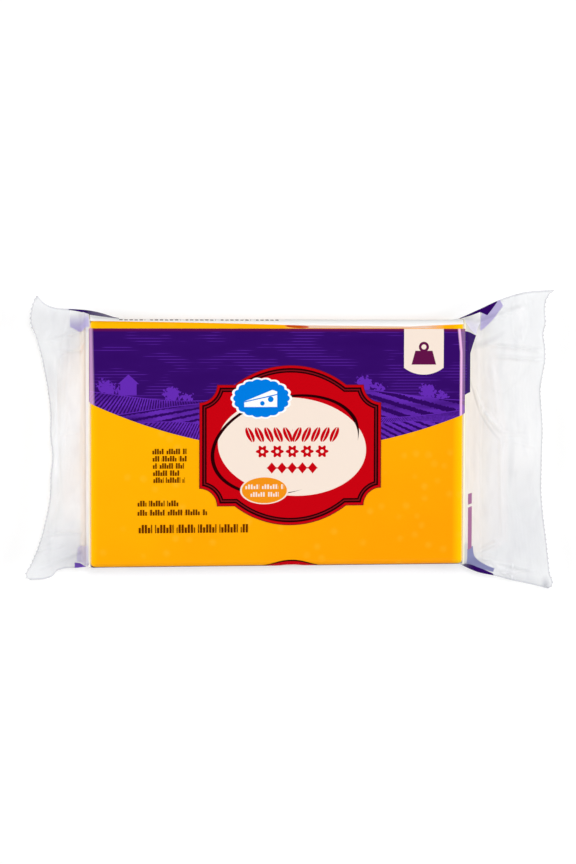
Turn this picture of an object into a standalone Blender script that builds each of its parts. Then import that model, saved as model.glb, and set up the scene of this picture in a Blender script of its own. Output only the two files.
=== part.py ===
"""A one pound cheddar block in its sealed clear film, lying on its back.

The block fills the middle of the film. Past each of its short ends the film closes to a flat
crimped fin, so each end of the film is a solid of its own that starts at the block's end face.
Units are metres. +X runs along the block, +Y up its printed front as the print is read, +Z out
of the front. The origin is the middle of the back face, on which the block rests.
"""

import bpy
import numpy as np

BLOCK_LENGTH = 0.158
BLOCK_WIDTH = 0.103
BLOCK_THICKNESS = 0.0255
BLOCK_EDGE_RADIUS = 0.0025
BLOCK_EDGE_SEGMENTS = 4

CONTACT_GAP = 0.0003
MID_HEIGHT = BLOCK_THICKNESS / 2
HALF_WIDTH = BLOCK_WIDTH / 2

# The film end starts a little inside the outline of the block's end face, and thins to its fin.
START_INSET = 0.0012
FIN_THICKNESS = 0.0009

# Distance from the block's end face at which the film has closed to the flat fin.
LEFT_CLOSING_RUN = 0.0042
RIGHT_CLOSING_RUN = 0.0175

# The cut edge of each fin: distance from the block's end face, from the bottom corner to the top.
LEFT_CUT_EDGE = (0.0258, 0.0238, 0.0200, 0.0168, 0.0155, 0.0153, 0.0158, 0.0176, 0.0204, 0.0228, 0.0212)
RIGHT_CUT_EDGE = (0.0408, 0.0398, 0.0385, 0.0372, 0.0360, 0.0355, 0.0352, 0.0355, 0.0364, 0.0363, 0.0402)

# How far the folded side of the film stands out past the block's long side: (distance from the
# end face, stand-out) pairs, from the end face to the fin's corner.
LEFT_TOP_FOLD = ((0.0, 0.0006), (0.0040, 0.0040), (0.0130, 0.0048), (0.0180, 0.0070), (0.0215, 0.0102))
LEFT_BOTTOM_FOLD = ((0.0, 0.0006), (0.0060, 0.0013), (0.0125, 0.0026), (0.0180, 0.0050), (0.0240, 0.0060))
RIGHT_TOP_FOLD = ((0.0, 0.0006), (0.0080, 0.0042), (0.0170, 0.0080), (0.0270, 0.0112), (0.0405, 0.0124))
RIGHT_BOTTOM_FOLD = ((0.0, 0.0006), (0.0080, 0.0048), (0.0170, 0.0074), (0.0270, 0.0110), (0.0405, 0.0128))

# Slow waves of the fin out of its plane, fully grown where the film has closed.
WAVE_HEIGHT = 0.0011
WAVE_LENGTH = 0.046

# How the rings of a film end are spread from the end face (0) to the cut edge (1), and how many
# points each of its two sheets has from the bottom fold to the top fold.
RING_PLACES = (0.0, 0.03, 0.07, 0.11, 0.16, 0.22, 0.30, 0.40, 0.52, 0.66, 0.82, 1.0)
POINTS_ACROSS_SIDE = 4
POINTS_ACROSS_FRONT = 23

CHEESE_COLOUR = (0.98, 0.42, 0.012, 1.0)
FILM_COLOUR = (0.86, 0.87, 0.89, 1.0)


def clear_scene():
    for item in list(bpy.data.objects):
        bpy.data.objects.remove(item, do_unlink=True)


def make_material(name, colour, roughness, alpha):
    material = bpy.data.materials.new(name)
    material.use_nodes = True
    shader = material.node_tree.nodes["Principled BSDF"]
    shader.inputs["Base Color"].default_value = colour
    shader.inputs["Roughness"].default_value = roughness
    shader.inputs["Metallic"].default_value = 0.0
    shader.inputs["Alpha"].default_value = alpha
    return material


def make_block(collection):
    """The cheese: a cube scaled to the block's size, with its edges rounded."""
    bpy.ops.mesh.primitive_cube_add(size=1.0, location=(0.0, 0.0, MID_HEIGHT))
    block = bpy.context.object
    block.name = "cheese_block"
    block.scale = (BLOCK_LENGTH, BLOCK_WIDTH, BLOCK_THICKNESS)
    bpy.ops.object.transform_apply(location=False, rotation=False, scale=True)
    edges = block.modifiers.new("Rounded edges", "BEVEL")
    edges.width = BLOCK_EDGE_RADIUS
    edges.segments = BLOCK_EDGE_SEGMENTS
    edges.limit_method = "ANGLE"
    block.data.shade_smooth()
    block.data.materials.append(make_material("Cheddar", CHEESE_COLOUR, 0.35, 1.0))
    for holder in list(block.users_collection):
        holder.objects.unlink(block)
    collection.objects.link(block)


def smooth_step(value):
    value = np.clip(value, 0.0, 1.0)
    return value * value * (3.0 - 2.0 * value)


def stand_out(distance, fold):
    """How far the folded side stands out at a distance from the end face."""
    places, heights = np.array(fold).T
    return np.interp(distance, places, heights)


def girth_places():
    """Places across one sheet, from -1 at the bottom fold to 1 at the top fold.

    The front panel takes the share of the width, and half of each narrow side folds in with it.
    """
    panel = BLOCK_WIDTH / (BLOCK_WIDTH + BLOCK_THICKNESS)
    side = np.linspace(panel, 1.0, POINTS_ACROSS_SIDE + 1)[1:]
    front = np.linspace(-panel, panel, POINTS_ACROSS_FRONT)
    return np.concatenate((-side[::-1], front, side)), panel


def film_end_points(cut_edge, closing_run, top_fold, bottom_fold):
    """The two sheets of a film end, as (ring, place across, sheet, xyz) points.

    Each ring keeps the film's girth: as the two sheets close towards the middle height, the
    narrow side between them folds outwards. x is the distance from the block's end face.
    """
    places, panel = girth_places()
    rings = np.array(RING_PLACES)[:, None]
    edge = np.interp(places, np.linspace(-1.0, 1.0, len(cut_edge)), cut_edge)[None, :]
    x = rings * edge
    fold = np.where(places > 0.0, stand_out(x, top_fold), stand_out(x, bottom_fold))
    round_side = np.clip((np.abs(places) - panel) / (1.0 - panel), 0.0, 1.0)[None, :]
    boxed = np.minimum(np.abs(places) / panel, 1.0) * (HALF_WIDTH - START_INSET) + fold * round_side
    spread = np.abs(places) * (HALF_WIDTH + fold)
    y = np.sign(places) * (boxed + (spread - boxed) * smooth_step(x / closing_run))
    closed = smooth_step(x / closing_run)
    open_half = (MID_HEIGHT - START_INSET) * (1.0 - closed) * (1.0 - round_side)
    half = FIN_THICKNESS / 2 + open_half
    wave = WAVE_HEIGHT * closed * np.sin(2.0 * np.pi * y / WAVE_LENGTH + x / closing_run)
    front = np.stack((x, y, MID_HEIGHT + half + wave), axis=-1)
    back = np.stack((x, y, MID_HEIGHT - half + wave), axis=-1)
    return np.stack((front, back), axis=2)


def make_film_end(collection, name, side, points, material):
    """Lofts the rings of a film end into one closed body. side is -1 on the left, 1 on the right."""
    ring_count, across, _, _ = points.shape
    around = np.concatenate((points[:, :, 0], points[:, ::-1, 1]), axis=1)
    around[..., 0] = side * (BLOCK_LENGTH / 2 + CONTACT_GAP + around[..., 0])
    size = 2 * across
    ring, step = np.meshgrid(np.arange(ring_count - 1), np.arange(size), indexing="ij")
    here = ring * size + step
    beside = ring * size + (step + 1) % size
    walls = np.stack((here, beside, beside + size, here + size), axis=-1).reshape(-1, 4)
    strip = np.arange(across - 1)
    start_cap = np.stack((strip, size - 1 - strip, size - 2 - strip, strip + 1), axis=-1)
    end_cap = start_cap[:, ::-1] + (ring_count - 1) * size
    faces = np.concatenate((walls, start_cap, end_cap))
    if side > 0:
        faces = faces[:, ::-1]
    mesh = bpy.data.meshes.new(name)
    mesh.from_pydata(around.reshape(-1, 3).tolist(), [], faces.tolist())
    mesh.shade_smooth()
    mesh.materials.append(material)
    collection.objects.link(bpy.data.objects.new(name, mesh))


def main():
    clear_scene()
    collection = bpy.data.collections.new("cheddar_block")
    bpy.context.scene.collection.children.link(collection)
    make_block(collection)
    film = make_material("Clear film", FILM_COLOUR, 0.25, 0.45)
    left = film_end_points(LEFT_CUT_EDGE, LEFT_CLOSING_RUN, LEFT_TOP_FOLD, LEFT_BOTTOM_FOLD)
    right = film_end_points(RIGHT_CUT_EDGE, RIGHT_CLOSING_RUN, RIGHT_TOP_FOLD, RIGHT_BOTTOM_FOLD)
    make_film_end(collection, "film_end_left", -1, left, film)
    make_film_end(collection, "film_end_right", 1, right, film)


main()
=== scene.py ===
"""Looks of a one pound cheddar block in clear printed film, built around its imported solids.

All places are metres in the solids' own frame: +X along the block, +Y up its printed front, +Z out
of the front. The film's print is drawn by shader maths in millimetres on the film laid out flat:
X runs along the pack from its middle, Y round its girth from the middle of the front.
"""

import functools
import math

import bpy
import numpy as np
from mathutils import Matrix, Vector


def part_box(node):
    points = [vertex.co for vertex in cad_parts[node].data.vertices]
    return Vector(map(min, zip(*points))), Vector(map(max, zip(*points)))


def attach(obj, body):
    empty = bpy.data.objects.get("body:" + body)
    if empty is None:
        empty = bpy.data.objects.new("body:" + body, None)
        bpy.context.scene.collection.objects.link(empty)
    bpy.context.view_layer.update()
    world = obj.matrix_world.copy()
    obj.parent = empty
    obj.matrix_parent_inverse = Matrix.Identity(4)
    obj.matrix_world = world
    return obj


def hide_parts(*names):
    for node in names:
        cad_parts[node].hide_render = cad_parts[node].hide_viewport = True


bl_info = {
    "name": "Cheddar block",
    "version": (1, 0, 0),
    "blender": (4, 5, 0),
    "location": "3D View > Sidebar > Cheddar",
    "description": "Dresses a cheddar block with its cheese and its printed clear film",
    "category": "Object",
}

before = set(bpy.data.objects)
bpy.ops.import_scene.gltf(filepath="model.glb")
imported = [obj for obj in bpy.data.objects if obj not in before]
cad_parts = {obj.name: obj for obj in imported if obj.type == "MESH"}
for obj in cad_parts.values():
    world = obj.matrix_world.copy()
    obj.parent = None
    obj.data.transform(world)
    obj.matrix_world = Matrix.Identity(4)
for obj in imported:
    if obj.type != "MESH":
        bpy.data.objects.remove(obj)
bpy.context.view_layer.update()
BLOCK_LOW, BLOCK_HIGH = (np.array(corner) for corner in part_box("cheese_block"))
HALF_LENGTH, HALF_WIDTH, MID_HEIGHT = (BLOCK_HIGH - BLOCK_LOW) / 2
HALF_SHEET = HALF_WIDTH + MID_HEIGHT

# The film lies this far off the cheese, and its two sheets are this far apart in a fin.
FILM_OFFSET = 0.00015
FIN_GAP = 0.00024
EDGE_RADIUS = 0.0025
# The teeth of the cut edges, the ribs that the crimp leaves, and the slow waves of the fins.
TOOTH_LENGTH = 0.0020
TOOTH_DEPTH = 0.0009
RIB_LENGTH = 0.0015
RIB_HEIGHT = 0.000006
WAVE_HEIGHT = 0.0011
WAVE_LENGTH = 0.046

# Each end of the film. run: distance past the end face at which it has closed to the flat fin;
# leave: angle at which it leaves the block's rounded edge. The lists are in millimetres. cut: (share
# of the way up the front, distance of the cut edge from the end face), from the bottom corner at -1
# to the top one at 1; top and bottom: (distance past the end face, how far the folded narrow side
# stands out); creases: (distance, height up the front, distance, height, rise, width).
MM = 0.001
LEFT_END = {
    "side": -1,
    "run": 4.2 * MM,
    "leave": math.radians(75),
    "closing_rows": 18,
    "fin_rows": 38,
    "cut": (
        (-1, 24.5), (-0.985, 26), (-0.95, 26.6), (-0.9, 25), (-0.8, 22.4), (-0.7, 20.3),
        (-0.6, 18.7), (-0.5, 17.4), (-0.4, 16.5), (-0.25, 16.2), (-0.1, 15.4), (0.05, 16.2),
        (0.2, 16.1), (0.35, 17), (0.5, 18.5), (0.6, 19.8), (0.7, 21.9), (0.77, 24),
        (0.83, 24.5), (0.9, 23.8), (1, 21.4),
    ),
    "top": (
        (-13, 0), (-9.4, 1.4), (-4.6, 2.9), (0, 3.8), (4, 4.3), (10, 4.6),
        (14.5, 5.2), (17.5, 6.4), (20, 8.5), (22.1, 11.4),
    ),
    "bottom": (
        (-3, 0), (4, 1.2), (11.5, 1.7), (13.5, 2.5), (15, 4.3), (18, 5.7),
        (22, 6.2), (26, 6.3),
    ),
    "creases": (
        (2, 47, 18, 42, 0.8, 0.8),
        (1, 39, 13, 37.5, 0.6, 0.6),
        (13.5, 36, 12.5, -20, 0.5, 0.9),
        (1, -37.5, 18, -38.5, 0.8, 0.7),
        (2, -45, 22, -53, 0.9, 1),
        (4, 4, 13, 3.5, 0.3, 0.6),
        (10, -43, 24, -46, 0.6, 0.8),
    ),
}
RIGHT_END = {
    "side": 1,
    "run": 17.5 * MM,
    "leave": math.radians(42),
    "closing_rows": 34,
    "fin_rows": 50,
    "cut": (
        (-1, 39.4), (-0.985, 40.6), (-0.88, 39.9), (-0.77, 39.1), (-0.62, 38.1),
        (-0.49, 37.2), (-0.35, 36.5), (-0.2, 36.2), (-0.05, 36.2), (0.06, 36.5), (0.22, 36.2),
        (0.35, 35.8), (0.43, 36.5), (0.54, 37.4), (0.64, 37), (0.71, 36.4), (0.77, 37.4),
        (0.88, 37.4), (0.94, 38.2), (0.975, 39.8), (1, 42),
    ),
    "top": ((-2.0, 0.0), (0.0, 0.8), (8.0, 4.5), (17.0, 8.7), (27.0, 11.8), (40.5, 13.1)),
    "bottom": (
        (-2, 0), (0, 1), (8, 4.8), (17, 7), (22.5, 8.5), (31, 10.4),
        (40.5, 12.8),
    ),
    "creases": (
        (5, 24, 10.5, 12, 1.1, 1.1),
        (10, 12.5, 18.5, 4.2, 1.1, 1.1),
        (18, 4.4, 30, 1.8, 0.7, 1),
        (18, 6, 19, -43, 0.6, 0.8),
        (18, -43, 7, -48, 0.9, 1),
        (13, 41, 36, 38.5, 1.1, 0.7),
        (14, 36, 36, 34.5, 0.9, 0.7),
        (4, 49, 30, 58, 1, 1.1),
        (4, -49, 34, -56, 1.2, 1.2),
        (14, 34, 17, 8, 0.6, 0.9),
        (20, 0, 34, -3, 0.5, 0.8),
        (12, -50, 26, -62, 0.8, 0.9),
    ),
}
# How far the closing rows go, and where the ribs start, as shares of the closing run.
CLOSING_REACH = 1.15
RIBS_FROM = 0.9
# The creases' first stretch past the end face, and how much of them the back sheet takes.
CREASES_GROW_OVER = 0.002
BACK_CREASE_SHARE = 0.3

# The film's grid: points round the girth, rows on the block's rounded edge, and rows between the
# edges with how near them they come.
COLUMNS = 512
EDGE_ROWS = 6
SLEEVE_ROWS = 22
SLEEVE_SPREAD = 0.96
# The film's length past the end face is summed in these steps, this far.
LENGTH_STEPS = 4000
LENGTH_REACH = 0.06
SHARP_ANGLE = math.radians(48)
# Where the finishes meet on the flat film: the free ends start past the first, and the narrow sides
# and the back past the second, up or down the front.
ENDS_FROM = 0.0810
SIDES_FROM = 0.0484


def srgb(red, green, blue):
    """A colour as seen on a screen, 0 to 255, as the linear colour that Blender's nodes hold."""
    share = np.array((red, green, blue)) / 255.0
    linear = np.where(share <= 0.04045, share / 12.92, ((share + 0.055) / 1.055) ** 2.4)
    return tuple(float(part) for part in linear) + (1.0,)


def tone(name, place, *shade):
    return bpy.props.FloatVectorProperty(
        name=name, description="Colour of " + place, default=srgb(*shade),
        size=4, subtype="COLOR", min=0.0, max=1.0,
    )


class CheddarCheeseSettings(bpy.types.PropertyGroup):
    bright: tone("Bright", "the cheese where it is brightest", 255, 184, 0)
    # Deep: random deeper patches, and painted shade towards the lower right.
    deep: tone("Deep", "the cheese in its deeper patches", 254, 160, 0)
    # Rim: a painted highlight along the rounded short edges.
    rim: tone("Rim", "the cheese along its short edges", 255, 208, 0)
    fleck: tone("Fleck", "the small pale flecks", 255, 200, 60)


class CheddarFilmSettings(bpy.types.PropertyGroup):
    haze: bpy.props.FloatProperty(
        name="Haze", description="How much one layer of loose film hides",
        default=0.42, min=0.0, max=1.0, subtype="FACTOR",
    )
    clear: tone("Clear film", "the film's haze", 250, 251, 253)
    # Shade: painted shade on the film's cut edges, creases, folds and corners; also its random dull
    # patches.
    shade: tone("Shade", "the film's cut edges and deep folds", 146, 150, 166)
    # Warm film: painted warm light that the cheese casts on the loose film.
    cream: tone("Warm film", "the loose film beside the cheese", 254, 251, 252)
    # Gleam: painted highlights on the loose film.
    gleam: tone("Gleam", "the film's brightest streaks", 254, 254, 255)
    # Edge: a painted highlight along the block's rounded short edges.
    edge: tone("Edge", "the gleam along the block's short edges", 255, 252, 225)
    band: tone("Band", "the dark printed band", 47, 7, 95)
    engraving: tone("Engraving", "the lines in the band", 99, 42, 176)
    plaque: tone("Plaque", "the plaque", 197, 2, 16)
    maroon: tone("Maroon", "the gaps between the plaque's dark lines", 124, 20, 28)
    plum: tone("Plum", "the tab's mark", 96, 18, 70)
    border: tone("Border", "the plaque's dark lines", 40, 0, 4)
    paper: tone("Paper", "the oval and of the tab", 244, 227, 213)
    rosette: tone("Rosette", "the rosette", 0, 122, 222)
    seal: tone("Seal", "the small oval", 240, 145, 23)
    brown: tone("Brown", "the small dashes", 96, 38, 0)
    lavender: tone("Lavender", "thin ink on the upper folds", 182, 172, 218)
    dusk: tone("Dusk", "thin ink on the lower right fold", 134, 136, 178)
    mauve: tone("Mauve", "the stripe on the back sheet", 166, 108, 150)
    # Wear: a painted highlight on the band over the block's rounded ends.
    band_highlight: tone("Wear", "the band's gleam along the block's ends", 250, 195, 240)
    white: tone("White", "white ink", 250, 250, 249)


class CheddarStageSettings(bpy.types.PropertyGroup):
    lens: bpy.props.FloatProperty(
        name="Lens", description="Focal length of the camera", default=100.0, min=20.0, unit="CAMERA"
    )
    distance: bpy.props.FloatProperty(
        name="Distance", description="From the camera to the pack", default=1.0292, min=0.2, unit="LENGTH"
    )
    yaw: bpy.props.FloatProperty(
        name="Yaw", description="Place of the camera to the right", default=math.radians(-7.0),
        subtype="ANGLE",
    )
    tilt: bpy.props.FloatProperty(
        name="Tilt", description="Place of the camera towards the top", default=math.radians(3.0),
        subtype="ANGLE",
    )
    roll: bpy.props.FloatProperty(
        name="Roll", description="Turn of the camera about its view", default=0.0024, subtype="ANGLE"
    )
    aim: bpy.props.FloatVectorProperty(
        name="Aim", description="Middle of the view, right and up from the origin",
        default=(0.0068, 0.0034), size=2, unit="LENGTH",
    )


def smooth_step(value):
    value = np.clip(value, 0.0, 1.0)
    return value * value * (3.0 - 2.0 * value)


def smooth_line(at, points):
    """Height of a smooth curve through (place, height) points: cubic pieces whose slope at each
    point comes from its neighbours, and level past the first and last points."""
    places, heights = np.array(points).T
    slopes = np.gradient(heights, places)
    piece = np.clip(np.searchsorted(places, at) - 1, 0, len(places) - 2)
    width = places[piece + 1] - places[piece]
    share = np.clip((at - places[piece]) / width, 0.0, 1.0)
    rest = 1.0 - share
    start = heights[piece] * (1.0 + 2.0 * share) + slopes[piece] * width * share
    stop = heights[piece + 1] * (1.0 + 2.0 * rest) - slopes[piece + 1] * width * rest
    return start * rest**2 + stop * share**2


def end_height(distance, end):
    """Half height of the film past an end face: the block's rounded edge as an arc, up to the angle
    at which the film leaves it, and from there a power curve that starts along the arc's tangent
    and meets the fin at the closing run."""
    radius = EDGE_RADIUS + FILM_OFFSET
    full = MID_HEIGHT + FILM_OFFSET
    along = np.clip(distance - FILM_OFFSET + radius, 0.0, radius)
    arc = full - radius + np.sqrt(radius**2 - along**2)
    leave_at = FILM_OFFSET - radius * (1.0 - math.sin(end["leave"]))
    leave_height = full - radius * (1.0 - math.cos(end["leave"]))
    drop = leave_height - FIN_GAP / 2
    power = math.tan(end["leave"]) * (end["run"] - leave_at) / drop
    share = np.clip((end["run"] - distance) / (end["run"] - leave_at), 0.0, 1.0)
    return np.where(distance < leave_at, arc, FIN_GAP / 2 + drop * share**power)


def crease_rise(distance, height, creases):
    """Each crease is a ridge along a line: a bell curve of the distance to the line's nearest point,
    which fades along the last fifth of the line at both its ends."""
    rise = np.zeros_like(distance)
    for x0, y0, x1, y1, most, width in np.array(creases) * MM:
        run, climb = x1 - x0, y1 - y0
        length = run**2 + climb**2
        share = np.clip(((distance - x0) * run + (height - y0) * climb) / length, 0.0, 1.0)
        away = (distance - x0 - share * run) ** 2 + (height - y0 - share * climb) ** 2
        fade = smooth_step(share * 5.0) * smooth_step((1.0 - share) * 5.0)
        rise += most * np.exp(-away / width**2) * (0.25 + 0.75 * fade)
    return rise


def sheet_place(girth):
    """How far a place round the girth is from the middle of its own sheet, front or back."""
    return np.minimum(np.abs(girth), 2 * HALF_SHEET - np.abs(girth))


def film_section(distance, girth, end):
    """Places of the film for arrays of distance past the end face and place round the girth.

    The section is a box of the film's half height with rounded corners. Its narrow side folds
    outwards by the stand-out, and towards the fin the whole sheet spreads evenly to the fold.
    Returns y and z.
    """
    quarter = sheet_place(girth)
    front = np.where(np.abs(girth) < HALF_SHEET, 1.0, -1.0)
    up = np.sign(girth)
    half_width = HALF_WIDTH + FILM_OFFSET
    height = end_height(distance, end)
    top, bottom = (smooth_line(distance / MM, end[side]) * MM for side in ("top", "bottom"))
    fold = np.where(up > 0, top, bottom)
    along_side = np.clip((quarter - HALF_WIDTH) / MID_HEIGHT, 0.0, 1.0)
    flat_y = np.minimum(quarter * half_width / HALF_WIDTH, half_width)
    flat_z = height * (1.0 - along_side)
    radius = np.minimum(EDGE_RADIUS + FILM_OFFSET, height * 0.9)
    inner_y = np.minimum(flat_y, half_width - radius)
    inner_z = np.minimum(flat_z, height - radius)
    away = np.hypot(flat_y - inner_y, flat_z - inner_z)
    y = inner_y + radius * (flat_y - inner_y) / away + fold * along_side
    z = inner_z + radius * (flat_z - inner_z) / away
    closed = smooth_step(distance / end["run"])
    y += (quarter * (half_width + fold) / HALF_SHEET - y) * closed
    z += (FIN_GAP / 2 - z) * closed
    y = up * y
    wave = WAVE_HEIGHT * np.sin(2 * math.pi * y / WAVE_LENGTH + distance / end["run"])
    to_cut = end_cut(girth, end) - distance
    ribbed = smooth_step((distance / end["run"] - RIBS_FROM) * 5.0)
    ribs = RIB_HEIGHT * np.sin(2 * math.pi * to_cut / RIB_LENGTH) * ribbed
    creases = crease_rise(distance, y, end["creases"]) * smooth_step(distance / CREASES_GROW_OVER)
    creases *= np.where(front > 0.0, 1.0, BACK_CREASE_SHARE)
    return y, MID_HEIGHT + front * z + closed * (wave + ribs) + creases


def end_cut(girth, end):
    """Distance of the cut edge from the end face, for places round the girth."""
    share = np.sign(girth) * sheet_place(girth) / HALF_SHEET
    return smooth_line(share, end["cut"]) * MM


def end_rows(girth, end):
    """Distances past the end face, one row for each ring from the block's edge to the cut edge.
    The last ring is cut in teeth: a triangle wave of the place round the girth."""
    cut = end_cut(girth, end)
    closed_share = end["run"] * CLOSING_REACH / cut.min()
    closing = np.linspace(0.0, closed_share, end["closing_rows"], endpoint=False)[1:]
    fin = np.linspace(closed_share, 1.0, end["fin_rows"])
    edge = -EDGE_RADIUS * np.cos(np.linspace(0.0, math.pi / 2, EDGE_ROWS))
    rows = np.concatenate((closing, fin))[:, None] * cut[None, :]
    tooth = np.abs(sheet_place(girth) / TOOTH_LENGTH % 1.0 - 0.5) * 2.0
    rows[-1] -= TOOTH_DEPTH * tooth
    return np.concatenate((np.repeat(edge[:, None], len(girth), axis=1), rows))


def film_grid():
    """The film as rows of rings from the left cut edge to the right. Each point has its x, y and z,
    its distance to the cut edge, and its place on the flat film."""
    girth = ((np.arange(COLUMNS) + 0.5) / COLUMNS * 4.0 - 2.0) * HALF_SHEET
    parts = []
    for end in (LEFT_END, RIGHT_END):
        distance = end_rows(girth, end)
        around = np.broadcast_to(girth, distance.shape)
        y, z = film_section(distance, around, end)
        steps = np.linspace(-EDGE_RADIUS, LENGTH_REACH, LENGTH_STEPS)
        heights = end_height(steps, end)
        lengths = np.concatenate(([0.0], np.cumsum(np.hypot(np.diff(steps), np.diff(heights)))))
        film_x = end["side"] * (HALF_LENGTH - EDGE_RADIUS + np.interp(distance, steps, lengths))
        x = end["side"] * (HALF_LENGTH + distance)
        parts.append(np.stack((x, y, z, end_cut(girth, end) - distance, film_x, around), axis=-1))
    share = np.linspace(-1.0, 1.0, SLEEVE_ROWS + 2)[1:-1]
    x = np.sin(share * math.pi / 2 * SLEEVE_SPREAD) * (HALF_LENGTH - EDGE_RADIUS)
    x = x[:, None] + np.zeros(COLUMNS)
    around = np.broadcast_to(girth, x.shape)
    y_left, z_left = film_section(-HALF_LENGTH - x, around, LEFT_END)
    y_right, z_right = film_section(x - HALF_LENGTH, around, RIGHT_END)
    y = np.where(x < 0, y_left, y_right)
    z = np.where(x < 0, z_left, z_right)
    sleeve = np.stack((x, y, z, HALF_LENGTH - abs(x), x, around), axis=-1)
    return np.concatenate((parts[0][::-1], sleeve, parts[1]))


def make_film_mesh():
    """The rings joined by quads, and each cut edge closed by quads between its two sheets."""
    grid = film_grid()
    rows = len(grid)
    row, column = np.meshgrid(np.arange(rows - 1), np.arange(COLUMNS), indexing="ij")
    beside = (column + 1) % COLUMNS
    walls = np.stack((row, row + 1, row + 1, row), axis=-1) * COLUMNS
    walls += np.stack((column, column, beside, beside), axis=-1)
    front = np.arange(COLUMNS // 4, COLUMNS * 3 // 4 - 1)
    back = (COLUMNS // 2 - 1 - front) % COLUMNS
    closing = np.stack((front, front + 1, (back - 1) % COLUMNS, back), axis=-1)
    faces = np.concatenate((walls.reshape(-1, 4), closing, closing[:, ::-1] + (rows - 1) * COLUMNS))
    mesh = bpy.data.meshes.new("film_wrap")
    mesh.from_pydata(grid[..., :3].reshape(-1, 3).tolist(), [], faces.tolist())
    places = grid[..., 4:].reshape(-1, 2)[faces]
    around = places[..., 1]
    seam = (around.max(axis=1) - around.min(axis=1)) > HALF_SHEET
    seam &= np.arange(len(faces)) < walls.size // 4
    around += (seam[:, None] & (around < 0)) * 4 * HALF_SHEET
    mesh.uv_layers.new(name="film").data.foreach_set("uv", places.astype(np.float32).ravel())
    across, up = np.abs(places.mean(axis=1).T)
    zones = np.select([across > ENDS_FROM, up > SIDES_FROM], [2, 1], 0)
    mesh.polygons.foreach_set("material_index", zones.astype(np.int32))
    to_cut = mesh.attributes.new("to_cut", "FLOAT", "POINT")
    to_cut.data.foreach_set("value", grid[..., 3].astype(np.float32).ravel())
    mesh.shade_smooth()
    mesh.set_sharp_from_angle(angle=SHARP_ANGLE)
    return mesh


class Value:
    """A number on its way through a node tree. Reckoning with it adds a Math node."""

    def __init__(self, tree, source):
        self.tree = tree
        self.source = source

    def reckon(self, operation, *others, clamp=False):
        node = self.tree.nodes.new("ShaderNodeMath")
        node.operation = operation
        node.use_clamp = clamp
        for value, socket in zip((self, *others), node.inputs):
            feed(self.tree, value, socket)
        return Value(self.tree, node.outputs[0])

    __add__ = functools.partialmethod(reckon, "ADD")
    __sub__ = functools.partialmethod(reckon, "SUBTRACT")
    __rsub__ = functools.partialmethod(reckon, "MULTIPLY_ADD", -1.0)
    __mul__ = __and__ = functools.partialmethod(reckon, "MULTIPLY")
    __truediv__ = functools.partialmethod(reckon, "DIVIDE")
    __abs__ = functools.partialmethod(reckon, "ABSOLUTE")
    __neg__ = functools.partialmethod(reckon, "MULTIPLY", -1.0)
    # The larger of two masks is in either. The larger of two signed distances is inside both
    # shapes, and the smaller inside either.
    __or__ = within = functools.partialmethod(reckon, "MAXIMUM")
    joined = functools.partialmethod(reckon, "MINIMUM")

    def wrapped(self, pitch):
        """Distance from the middle of the repeat, for a pattern that repeats at a pitch."""
        return self.reckon("WRAP", pitch / 2, -pitch / 2)

    def size(self, other):
        """Length of the vector with these two parts."""
        return (self * self + other * other).reckon("SQRT")


def feed(tree, value, socket):
    if isinstance(value, Value):
        tree.links.new(value.source, socket)
    elif isinstance(value, bpy.types.NodeSocket):
        tree.links.new(value, socket)
    else:
        socket.default_value = value


def feed_all(tree, node, **inputs):
    """Feeds a node's inputs by name. The spaces in their names are written as underscores."""
    for name, value in inputs.items():
        feed(tree, value, node.inputs[name.replace("_", " ")])
    return node


def add_node(tree, kind, settings=None, **inputs):
    node = tree.nodes.new("ShaderNode" + kind)
    for name, value in (settings or {}).items():
        setattr(node, name, value)
    return feed_all(tree, node, **inputs)


# How many millimetres of a drawn edge are soft: one over this.
EDGE_SHARPNESS = 9.0


def inside(distance):
    """1 where a signed distance in millimetres is below nothing, with a thin soft edge."""
    return distance.reckon("MULTIPLY_ADD", -EDGE_SHARPNESS, 0.5, clamp=True)


def fading(value, start, end):
    """0 at the start value and 1 at the end value, straight between them."""
    slope = 1.0 / (end - start)
    return value.reckon("MULTIPLY_ADD", slope, -start * slope, clamp=True)


def oval(x, y, middle, half, turn=0.0):
    """Signed distance to an oval turned anticlockwise: how far its scaled radius is past one, times
    its smaller half."""
    across = x - middle[0]
    up = y - middle[1]
    if turn:
        cosine, sine = math.cos(turn), math.sin(turn)
        across, up = across * cosine + up * sine, up * cosine - across * sine
    return ((across / half[0]).size(up / half[1]) - 1.0) * min(half)


def box(x, y, middle, half):
    """Signed distance to an upright box."""
    return (abs(x - middle[0]) - half[0]).within(abs(y - middle[1]) - half[1])


def beyond(x, y, start, end):
    """Signed distance to the ground left of the line from start to end."""
    run, climb = end[0] - start[0], end[1] - start[1]
    length = math.hypot(run, climb)
    return (x - start[0]) * (climb / length) - (y - start[1]) * (run / length)


def patch(x, y, *corners):
    """Signed distance to a straight-edged convex patch whose corners are given anticlockwise."""
    sides = zip(corners, corners[1:] + corners[:1])
    return functools.reduce(Value.within, [beyond(x, y, *side) for side in sides])


def patches(x, y, shapes):
    """Signed distance to the nearest of some patches."""
    return functools.reduce(Value.joined, [patch(x, y, *corners) for corners in shapes])


class Canvas:
    """Paints inks in order. Keeps the top colour and how much of the film is covered."""

    def __init__(self, tree, first_colour):
        self.tree = tree
        self.colour = first_colour
        self.cover = None

    def tint(self, mask, colour):
        """Paints without covering more of the film."""
        inks = {"Factor": mask, "A": self.colour, "B": colour}
        mix = add_node(self.tree, "Mix", {"data_type": "RGBA"}, **inks)
        self.colour = mix.outputs["Result"]

    def paint(self, mask, colour):
        """Paints and covers. On bare film the ink keeps its full colour up to its soft edge."""
        self.cover = mask if self.cover is None else self.cover | mask
        self.tint(mask / (self.cover | 0.001), colour)


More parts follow.
